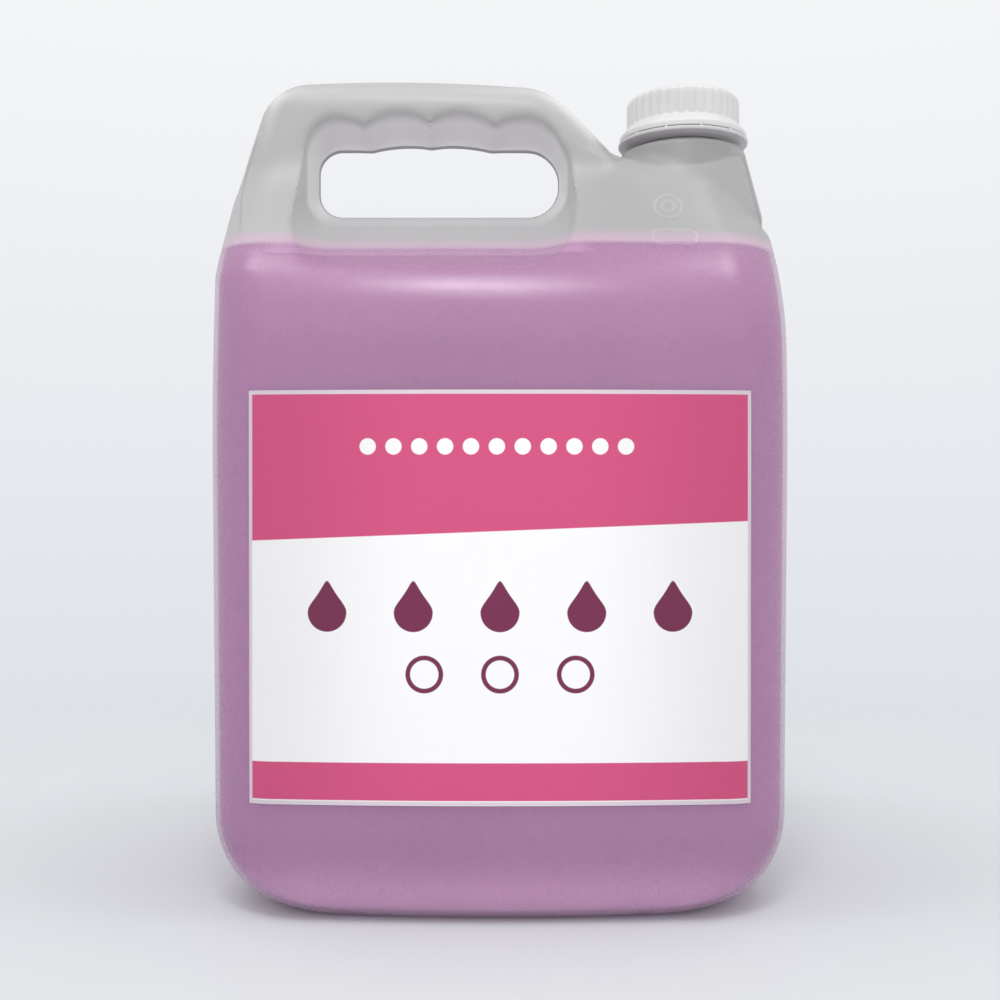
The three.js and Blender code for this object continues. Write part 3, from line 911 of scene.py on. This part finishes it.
def makeRing(material):
    foot, top = tamperRing["foot"], tamperRing["top"]
    radius = cap["innerRadius"] + cap["wall"] + cap["collarFlare"] + tamperRing["standsOut"]
    inner = radius - tamperRing["wall"]
    web = neck["radius"] + tamperRing["webPlay"]
    webFoot = foot + tamperRing["webLift"]
    webTop = webFoot + tamperRing["webHeight"]
    foot = foot + tamperRing["bandLift"]
    innerRound = tamperRing["innerRound"]
    profile = softProfile([
        (web, webFoot, innerRound), (inner, foot, tamperRing["footEdge"]),
        (radius, foot, tamperRing["footRound"]), (radius, top, tamperRing["topRound"]),
        (inner, top, innerRound), (inner, foot + tamperRing["webHeight"], innerRound),
        (web, webTop, innerRound)], longest=tamperRing["longest"], closed=True)
    points = turnedRings(profile, tamperRing["around"], ringShape)
    quads = gridQuads(len(profile), tamperRing["around"], closedRows=True)
    return makePiece("ringBand", points, quads, [material], weld=True)


# Finishes. Heights in the shaders are in metres, as the surface's own place is.
plastic = {
    "dry": screen(183, 183, 183),
    "wet": screen(186, 142, 181),
    "stretched": screen(240, 240, 240),  # light grey: painted light on the wall round the finger hole, cancelling the shade in the recess; also the marks' colour above the soap
    "palePink": screen(240, 198, 232),  # pale colour: painted light at the base and on the recess floor; also the marks' colour under the soap
    "weld": screen(150, 150, 151),
    # a lighter pink band above the soap's level: partly a wet film on the wall, partly painted light
    # scattered up the wall from the soap
    "fringe": screen(214, 176, 202),
    "dryCover": 0.64,  # how much the wall hides above the soap
    "wetCover": 0.42,
    "weldCover": 0.9,  # pinched wall round the finger hole
    "innerCover": 0.1,
    "innerWetCover": 0.04,
    "neckCover": 0.85,
    "markCover": 0.22,
    "fringeHeight": 5.0,
    "fringeShare": 0.8,
    "roughness": 0.4,
    "wetRoughness": 0.27,
    "gloss": 1.7,
    "grain": 0.00002,
    "grainScale": 1400,
    "grainShare": 0.5,
    "cloudScale": 40,  # slow change over the wall
    "cloudShare": 3,
    "cloudTone": 0.06,
    "cloudGloss": 0.07,
    # Where masks fade in, as two distances in millimetres from the place named
    "levelEdge": (0.2, -2.0),  # from the level
    "levelDepth": (0, -14),
    "gripFace": (16.5, 11.5),  # from the middle plane
    "gripLow": (230, 246),
    "gripTop": (-3, -9),  # from the top
    "gripRear": (-20, -12),  # from the hole's ends
    "gripNeck": (18, 10),
    "weldFace": (2.2, 1.4),
    "weldLow": (-6, -3),  # from the hole's bottom and top
    "weldHigh": (7, 4),
    "neckSide": (12, 40),
    "neckDim": 0.13,  # thicker, duller wall towards the neck
    # painted light: towards the base the wet wall turns to the pale colour, cancelling the shade low on the
    # can
    "baseLightHeights": (22, 1),
    "baseLightShare": 0.7,
    "ledge": ((216.6, 217.4), (224, 221)),  # floor of the recess under the soap's level, painted lighter as if lit from above
    "ledgeFace": (20, 26),
    "ledgeRear": (-80, -73),
    "ledgeNeck": (32, 25),
    "ledgeLightShare": 0.35,
    "fold": ((215.2, 216.2), (217.4, 216.6)),  # painted shade: the fold under it is drawn darker
    "foldShade": 0.1,
}


# Masks over the outside of the can. Where the wall round the finger hole is painted lighter, cancelling the
# shade in the recess:
def recessLightMask(x, y, z):
    face = abs(y).ramp(*plastic["gripFace"]) * z.ramp(*plastic["gripLow"]) * z.fade(top, plastic["gripTop"])
    return face * (x.fade(holeRear, plastic["gripRear"]) * x.fade(holeNeck, plastic["gripNeck"]))


# The pinched wall round the finger hole
def weldMask(y, z):
    low, high = z.fade(holeBottom, plastic["weldLow"]), z.fade(holeTop, plastic["weldHigh"])
    return abs(y).ramp(*plastic["weldFace"]) * low * high


# The floor of the recess or the fold under it, between these two edges: painted light on the floor, painted
# shade in the fold
def recessMask(x, y, z, foot, head):
    ends = x.ramp(*plastic["ledgeRear"]) * x.ramp(*plastic["ledgeNeck"])
    return z.ramp(*foot) * z.ramp(*head) * abs(y).ramp(*plastic["ledgeFace"]) * ends


def bottlePlastic(name, cover, wetCover, outside=False, raised=False):
    material, tree, place = startMaterial(name)
    x, y, z = (axis / mm for axis in place.split())
    cloud = place.stretched(1, 1, 0.4).noise(plastic["cloudScale"], 2)
    fine = place.noise(plastic["grainScale"], 1)
    under = (z + cloud).fade(soapLevel, plastic["levelEdge"])
    thin = z.fade(soapLevel, plastic["levelDepth"])
    dry, wet = plastic["dry"], plastic["wet"]
    alpha = (under + thin) * 0.5 * (wetCover - cover) + cover
    colour = under.between(dry, wet)
    if raised:
        colour = under.between(plastic["stretched"], plastic["palePink"])
    if outside:
        band = z.fade(soapLevel, (plastic["fringeHeight"], 0))
        # painted light: the wall round the finger hole is lighter, to cancel the recess's shade
        dry = recessLightMask(x, y, z).between(plastic["dry"], plastic["stretched"])
        dry = (1 - x.ramp(*plastic["neckSide"]) * plastic["neckDim"]).dim(dry)
        # lighter band above the level: partly wet film, partly painted light from the soap
        dry = (band * plastic["fringeShare"]).between(dry, plastic["fringe"])
        # painted light on the recess floor and towards the base
        ledge = recessMask(x, y, z, *plastic["ledge"]) * plastic["ledgeLightShare"]
        rim = z.ramp(*plastic["baseLightHeights"]) * plastic["baseLightShare"]
        wet = rim.most(ledge).between(plastic["wet"], plastic["palePink"])
        # painted shade: the fold under the recess floor is darker
        wet = (1 - recessMask(x, y, z, *plastic["fold"]) * plastic["foldShade"]).dim(wet)
        weld = weldMask(y, z)
        colour = weld.between(under.between(dry, wet), plastic["weld"])
        alpha = alpha + weld * (plastic["weldCover"] - cover)
    tone = cloud * plastic["cloudTone"] + (1 - plastic["cloudTone"] / 2)
    gloss = (fine + cloud - 1) * plastic["cloudGloss"] + plastic["roughness"]
    surface = {
        "Base Color": tone.dim(colour),
        "Roughness": gloss + under * (plastic["wetRoughness"] - plastic["roughness"]),
        "Alpha": alpha,
        "IOR": plastic["gloss"],
    }
    bump = fine * plastic["grainShare"] + cloud * plastic["cloudShare"]
    return closeMaterial(material, tree, surface, bump, plastic["grain"])


soapLook = {
    "deep": screen(181, 124, 174),
    "light": screen(193, 140, 184),
    # painted light: the soap turns paler towards the base, cancelling the shade that falls low in the can
    "low": screen(216, 164, 206),
    "lowLightHeights": (24, 2),
    "lowLightShare": 0.8,
    "lightFrom": 150,  # lighter from here up to the level
    "lightShare": 0.3,
    "swirlScale": 14,
    "swirlEdge": (0.35, 0.7),
    "swirlShare": 0.5,
    "fineScale": 90,
    "fineShare": 0.1,
    "roughness": 0.28,
    "gloss": 1.45,
    "bump": 0.00008,
    "fineBump": 0.3,
}


def pearlySoap():
    material, tree, place = startMaterial("pearlySoap")
    swirl = place.stretched(1, 1, 0.45).noise(soapLook["swirlScale"], 4, 0.6)
    fine = place.noise(soapLook["fineScale"], 2)
    z = place.split()[2] / mm
    light = swirl.ramp(*soapLook["swirlEdge"]) * soapLook["swirlShare"]
    light = light + z.ramp(soapLook["lightFrom"], soapLevel) * soapLook["lightShare"]
    light = light + (fine - 0.5) * soapLook["fineShare"]
    # painted light towards the base
    low = z.ramp(*soapLook["lowLightHeights"]) * soapLook["lowLightShare"]
    surface = {
        "Base Color": low.between(light.between(soapLook["deep"], soapLook["light"]), soapLook["low"]),
        "Roughness": (fine - 0.5) * soapLook["fineShare"] + soapLook["roughness"],
        "IOR": soapLook["gloss"],
    }
    return closeMaterial(material, tree, surface, swirl + fine * soapLook["fineBump"], soapLook["bump"])


whiteLook = {
    "colour": screen(213, 213, 214),
    "shade": screen(205, 205, 206),
    "ringShade": 0.93,  # painted shade: the ring is drawn darker, as it faces down under the collar
    "cloudScale": 60,
    "cloudEdge": (0.3, 0.75),
    "cloudTone": 0.02,
    "cloudBump": 3,
    "grainScale": 2600,
    "roughness": 0.36,
    "glossChange": 0.08,
    "gloss": 1.5,
    "bump": 0.00003,
}


def whitePlastic(name, share=1.0):
    material, tree, place = startMaterial(name)
    cloud = place.noise(whiteLook["cloudScale"], 3)
    fine = place.noise(whiteLook["grainScale"], 2)
    colour = cloud.ramp(*whiteLook["cloudEdge"]).between(whiteLook["colour"], whiteLook["shade"])
    # a share below 1 darkens the whole colour; the ring uses it as painted shade
    tone = cloud * whiteLook["cloudTone"] + (share - whiteLook["cloudTone"] / 2)
    surface = {
        "Base Color": tone.dim(colour),
        "Roughness": (fine + cloud - 1) * whiteLook["glossChange"] + whiteLook["roughness"],
        "IOR": whiteLook["gloss"],
    }
    return closeMaterial(material, tree, surface, fine + cloud * whiteLook["cloudBump"], whiteLook["bump"])


foamLook = {
    "light": screen(240, 238, 232),
    "dark": screen(222, 219, 210),
    "cellScale": 1900.0,
    "cloudScale": 200,
    "roughness": 0.7,
    "glossChange": 0.2,
    "bump": 0.0001,
}


def linerFoam():
    material, tree, place = startMaterial("linerFoam")
    cells = place.node("TexVoronoi", None, {"Vector": place, "Scale": foamLook["cellScale"]})
    cloud = place.noise(foamLook["cloudScale"], 3)
    surface = {
        "Base Color": (cells * 0.5 + cloud * 0.5).between(foamLook["light"], foamLook["dark"]),
        "Roughness": cells * foamLook["glossChange"] + foamLook["roughness"],
    }
    return closeMaterial(material, tree, surface, cells, foamLook["bump"])


# The label's print: a slanted band, a lower band and rows of plain dots, drops and rings, with painted
# shade darkening its sides
artwork = {
    "paper": screen(252, 251, 253),
    "border": screen(224, 212, 222),
    "pink": screen(215, 80, 130),
    "plum": screen(118, 34, 76),
    "borderWidth": 1.3,
    "slantLeft": 122.5,
    "slantRight": 128.8,
    "bottomBand": (40.1, 52.1),
    "dotRow": (-42.0, 40.0, 152.5, 11),  # from x, to x, height, how many
    "dotRadius": 2.6,
    "dropRow": (-55.0, 55.0, 99.8, 5),
    "dropRadius": 6.2,
    "ringRow": (-24.0, 24.0, 80.2, 3),
    "ringRadius": 6.0,
    "ringLine": 1.5,
    "dropNarrow": 0.8,  # the upper half of a drop narrows by this at its radius
    "dropTall": 0.62,  # and is drawn out upwards
    "sideBorder": 1.2,
    "softEdge": 0.12,
    "sideShadeFrom": 0.25,  # painted shade: share of the half width where the sides start to darken, as if turning from the light
    "fade": 0.17,
    "grainScale": 900,
    "cloudScale": 30,
    "toneChange": 0.03,
    "roughness": 0.4,
    "glossChange": 0.1,
    "inkRoughness": 0.04,
    "gloss": 1.45,
    "bump": 0.00002,
}


def printedLabel():
    material, tree, place = startMaterial("printedLabel")
    x, y, z = (axis / mm for axis in place.split())
    half, low, high = label["width"] / 2, label["bottom"], label["bottom"] + label["height"]
    soft = artwork["softEdge"]

    def below(value, limit):
        return value.ramp(limit + soft, limit - soft, smooth=False)

    def inRow(row):
        start, end, height, count = row
        pitch = (end - start) / (count - 1)
        step = (x - start) / pitch + 0.5
        nearest = tree.maths("FLOOR", step).most(0.0).least(count - 1.0)
        return x - (nearest * pitch + start), z - height

    def distance(dx, dz):
        return tree.maths("SQRT", dx * dx + dz * dz)

    inBorder = below(abs(x), half - artwork["sideBorder"]) * below(z, high - artwork["borderWidth"])
    inBorder = inBorder * (1 - below(z, low + artwork["borderWidth"]))
    slope = (artwork["slantRight"] - artwork["slantLeft"]) / label["width"]
    edge = x * slope + (artwork["slantLeft"] + artwork["slantRight"]) / 2
    upper = 1 - below(z - edge, 0.0)
    bottomLow, bottomHigh = artwork["bottomBand"]
    lower = below(z, bottomHigh) * (1 - below(z, bottomLow))
    pink = upper.most(lower) * inBorder
    dotX, dotZ = inRow(artwork["dotRow"])
    dots = below(distance(dotX, dotZ), artwork["dotRadius"])
    dropX, dropZ = inRow(artwork["dropRow"])
    tip = dropZ.most(0.0) / artwork["dropRadius"]
    narrow = 1 + tip * tip * artwork["dropNarrow"]
    tall = dropZ.most(0.0) * artwork["dropTall"] + dropZ.least(0.0)
    drops = below(distance(dropX * narrow, tall), artwork["dropRadius"])
    ringX, ringZ = inRow(artwork["ringRow"])
    halfLine = artwork["ringLine"] / 2
    rings = below(abs(distance(ringX, ringZ) - (artwork["ringRadius"] - halfLine)), halfLine)
    colour = inBorder.between(artwork["border"], artwork["paper"])
    colour = pink.between(colour, artwork["pink"])
    colour = dots.between(colour, artwork["paper"])
    colour = drops.most(rings).between(colour, artwork["plum"])
    grain = place.noise(artwork["grainScale"], 2)
    cloud = place.noise(artwork["cloudScale"], 2)
    # painted shade: darker towards the label's sides
    sideShade = 1 - abs(x / half).ramp(artwork["sideShadeFrom"], 1.0) * artwork["fade"]
    shade = sideShade * ((grain + cloud) * artwork["toneChange"] + (1 - artwork["toneChange"]))
    gloss = grain * artwork["glossChange"] + artwork["roughness"]
    surface = {
        "Base Color": shade.dim(colour),
        "Roughness": gloss + pink * artwork["inkRoughness"],
        "IOR": artwork["gloss"],
    }
    return closeMaterial(material, tree, surface, grain + cloud * 2, artwork["bump"])


# Build the pieces and hand them to the frame
shell = [
    bottlePlastic("bottleWall", plastic["dryCover"], plastic["wetCover"], outside=True),
    bottlePlastic("bottleInside", plastic["innerCover"], plastic["innerWetCover"]),
    bottlePlastic("bottleNeck", plastic["neckCover"], plastic["neckCover"]),
    bottlePlastic("bottleMarks", plastic["markCover"], plastic["markCover"], raised=True),
]
white = whitePlastic("whitePlastic")

bottle = makeBottle(shell)
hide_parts("bottle")
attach(bottle, "can")

filling = makeSoap(pearlySoap())
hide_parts("liquid_soap")
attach(filling, "can")

sheet = makeLabel(printedLabel())
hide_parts("front_label")
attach(sheet, "can")

capShell = makeCap(white)
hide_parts("cap")
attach(capShell, "screw_cap")

# the ring's white is darkened: painted shade under the collar
ringBand = makeRing(whitePlastic("ringShadedPlastic", whiteLook["ringShade"]))
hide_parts("tamper_ring")
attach(ringBand, "can")

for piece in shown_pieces():
    if piece.name == "cap_liner":
        piece.data.materials.clear()
        piece.data.materials.append(linerFoam())
print("pieces placed")


# Floor, light and camera
studio = {
    "floor": screen(212, 216, 219),
    "floorSize": 4,
    "floorRoughness": 0.75,
    "floorGloss": 0.2,
    "floorCloud": (40, 0.02, 0.1),  # its scale, and what it changes in tone and roughness
    "floorReach": (0.22, 0.6),  # the floor fades out between these distances
    "skyLow": screen(215, 218, 225),
    "skyMiddle": screen(229, 232, 237),
    "skyHigh": screen(244, 245, 247),
    "skyReach": 0.36,
    "fill": 0.88,
    "lamps": [  # name, place, aim, size and power
        ("keyLamp", (-0.04, -0.53, 1.22), (0, 0, 0.15), (0.26, 0.14), 2.7),
        ("frontLamp", (0.0, -1.4, 0.8), (0, 0, 0.12), (3.2, 0.8), 3.0),
        ("leftLamp", (-0.46, -0.16, 1.3), (0, 0, 0.2), (0.3, 0.3), 1.5),
        ("rightLamp", (0.46, -0.16, 1.3), (0, 0, 0.2), (0.3, 0.3), 1.5),
    ],
    "cameraBack": 0.4463,
    "cameraHeight": 0.1355,
    "lens": 43.2,
    "sensor": 36,
}


def makeFloor():
    bpy.ops.mesh.primitive_plane_add(size=studio["floorSize"])
    floor = bpy.context.object
    floor.name = "floor"
    material, tree, place = startMaterial("studioFloor")
    x, y, z = place.split()
    near, far = studio["floorReach"]
    scale, tone, gloss = studio["floorCloud"]
    cloud = place.noise(scale, 2)
    surface = {
        "Base Color": (cloud * tone + (1 - tone / 2)).dim(studio["floor"]),
        "Roughness": cloud * gloss + studio["floorRoughness"],
        "Alpha": tree.maths("SQRT", x * x + y * y).ramp(far, near),
        "Specular IOR Level": studio["floorGloss"],
    }
    closeMaterial(material, tree, surface)
    floor.data.materials.append(material)
    return floor


def addLamp(name, place, aim, size, power):
    lamp = bpy.data.lights.new(name, "AREA")
    lamp.shape = "RECTANGLE"
    lamp.size, lamp.size_y = size
    lamp.energy = power
    holder = bpy.data.objects.new(name, lamp)
    holder.location = place
    holder.rotation_euler = (Vector(aim) - Vector(place)).to_track_quat("-Z", "Y").to_euler()
    bpy.context.scene.collection.objects.link(holder)


def lightStudio():
    world = bpy.data.worlds.new("studioSky")
    bpy.context.scene.world = world
    world.use_nodes = True
    world.node_tree.nodes.clear()
    tree = Flow(world.node_tree)
    height = tree.node("TexCoord", output="Generated").split()[2]
    seen = tree.node("LightPath", output="Is Camera Ray")
    reach = studio["skyReach"]
    sky = height.ramp(-reach, 0.0, smooth=False).between(studio["skyLow"], studio["skyMiddle"])
    sky = height.ramp(0.0, reach, smooth=False).between(sky, studio["skyHigh"])
    seenSky = tree.node("Background", None, {"Color": sky, "Strength": 1.0})
    fill = tree.node("Background", None, {"Color": (1, 1, 1, 1), "Strength": studio["fill"]})
    both = tree.node("MixShader", None, {0: seen, 1: fill, 2: seenSky})
    tree.node("OutputWorld", None, {"Surface": both})
    for lamp in studio["lamps"]:
        addLamp(*lamp)


makeFloor()
lightStudio()

camera = bpy.data.cameras.new("camera")
camera.sensor_width = studio["sensor"]
camera.lens = studio["lens"]
holder = bpy.data.objects.new("camera", camera)
holder.location = (0, -studio["cameraBack"], studio["cameraHeight"])
holder.rotation_euler = (math.pi / 2, 0, 0)
bpy.context.scene.collection.objects.link(holder)
bpy.context.scene.camera = holder
bpy.context.scene.view_settings.view_transform = "Standard"
print("studio ready")
